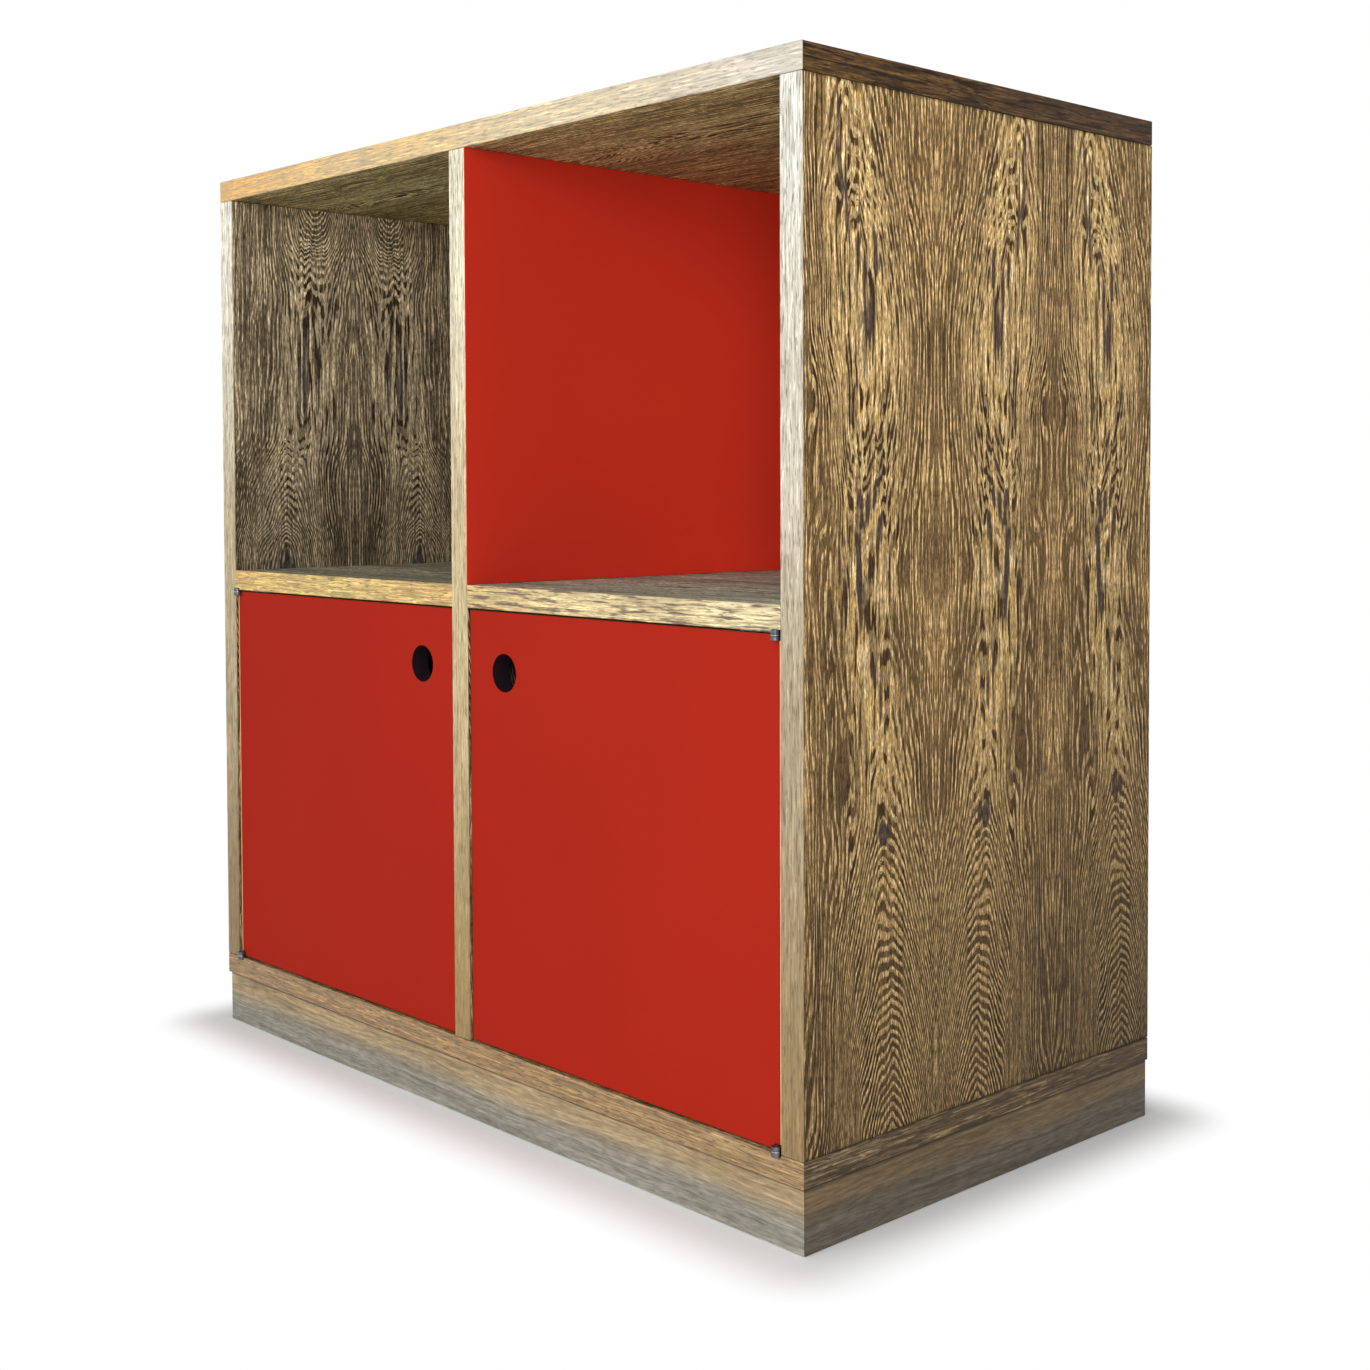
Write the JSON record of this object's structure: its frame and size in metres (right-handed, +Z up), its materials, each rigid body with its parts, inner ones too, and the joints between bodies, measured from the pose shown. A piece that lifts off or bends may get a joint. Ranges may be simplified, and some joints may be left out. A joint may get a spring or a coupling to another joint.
{
  "type": "credenza",
  "caption": "Low veneered wenge credenza on a recessed plinth, with open niches above cupboards whose red doors turn on pivot hinges and have round finger holes.",
  "frame": {"origin": "on the floor under the middle of the whole, hinge knuckles included", "axes": "+Z up, the doors and niches face -Y, +X is the right-hand side seen from the front"},
  "size_m": [0.75, 0.4034, 0.79],
  "materials": {
    "wenge_veneer": "satin figured veneer, brown lines on a golden tan ground",
    "red_laminate": "matte red laminate",
    "pale_edging": "pale solid edging strip",
    "stained_plywood": "brown stained plywood",
    "pine": "sawn softwood",
    "hinge_steel": "dull plated steel",
    "zinc_screw": "zinc plated",
    "ivory_plastic": "moulded ivory plastic",
    "ferrite": "sintered magnet between plain steel poles"
  },
  "bodies": {
    "carcass": {"top_board": "wenge_veneer", "bottom_board": "wenge_veneer", "left_side": "wenge_veneer", "right_side": "wenge_veneer", "divider": "wenge_veneer", "left_shelf": "wenge_veneer", "right_shelf": "wenge_veneer", "back_panel": "stained_plywood", "divider_facing": "red_laminate", "plinth_front": "wenge_veneer", "plinth_back": "wenge_veneer", "plinth_left": "wenge_veneer", "plinth_right": "wenge_veneer", "plinth_block_front_left": "pine", "plinth_block_front_right": "pine", "plinth_block_back_left": "pine", "plinth_block_back_right": "pine", "left_top_hinge_plate": "hinge_steel", "left_top_hinge_pin": "hinge_steel", "left_top_hinge_washer": "zinc_screw", "left_top_plate_screw_1": "zinc_screw", "left_top_plate_screw_2": "zinc_screw", "left_bottom_hinge_plate": "hinge_steel", "left_bottom_hinge_pin": "hinge_steel", "left_bottom_hinge_washer": "zinc_screw", "left_bottom_plate_screw_1": "zinc_screw", "left_bottom_plate_screw_2": "zinc_screw", "left_catch_housing": "ivory_plastic", "left_catch_magnet": "ferrite", "right_top_hinge_plate": "hinge_steel", "right_top_hinge_pin": "hinge_steel", "right_top_hinge_washer": "zinc_screw", "right_top_plate_screw_1": "zinc_screw", "right_top_plate_screw_2": "zinc_screw", "right_bottom_hinge_plate": "hinge_steel", "right_bottom_hinge_pin": "hinge_steel", "right_bottom_hinge_washer": "zinc_screw", "right_bottom_plate_screw_1": "zinc_screw", "right_bottom_plate_screw_2": "zinc_screw", "right_catch_housing": "ivory_plastic", "right_catch_magnet": "ferrite"},
    "left_door": {"left_door": "red_laminate", "left_door_edging": "pale_edging", "left_strike_plate": "hinge_steel", "left_top_door_leaf": "hinge_steel", "left_top_leaf_screw_1": "zinc_screw", "left_top_leaf_screw_2": "zinc_screw", "left_bottom_door_leaf": "hinge_steel", "left_bottom_leaf_screw_1": "zinc_screw", "left_bottom_leaf_screw_2": "zinc_screw"},
    "right_door": {"right_door": "red_laminate", "right_door_edging": "pale_edging", "right_strike_plate": "hinge_steel", "right_top_door_leaf": "hinge_steel", "right_top_leaf_screw_1": "zinc_screw", "right_top_leaf_screw_2": "zinc_screw", "right_bottom_door_leaf": "hinge_steel", "right_bottom_leaf_screw_1": "zinc_screw", "right_bottom_leaf_screw_2": "zinc_screw"}
  },
  "joints": [
    {"name": "left_door_hinge", "type": "hinge", "parent": "carcass", "child": "left_door", "pos_m": [-0.3508, -0.1983, 0.236], "axis": [0, 0, -1], "range_deg": [0, 180]},
    {"name": "right_door_hinge", "type": "hinge", "parent": "carcass", "child": "right_door", "pos_m": [0.3508, -0.1983, 0.236], "axis": [0, 0, 1], "range_deg": [0, 180]}
  ]
}
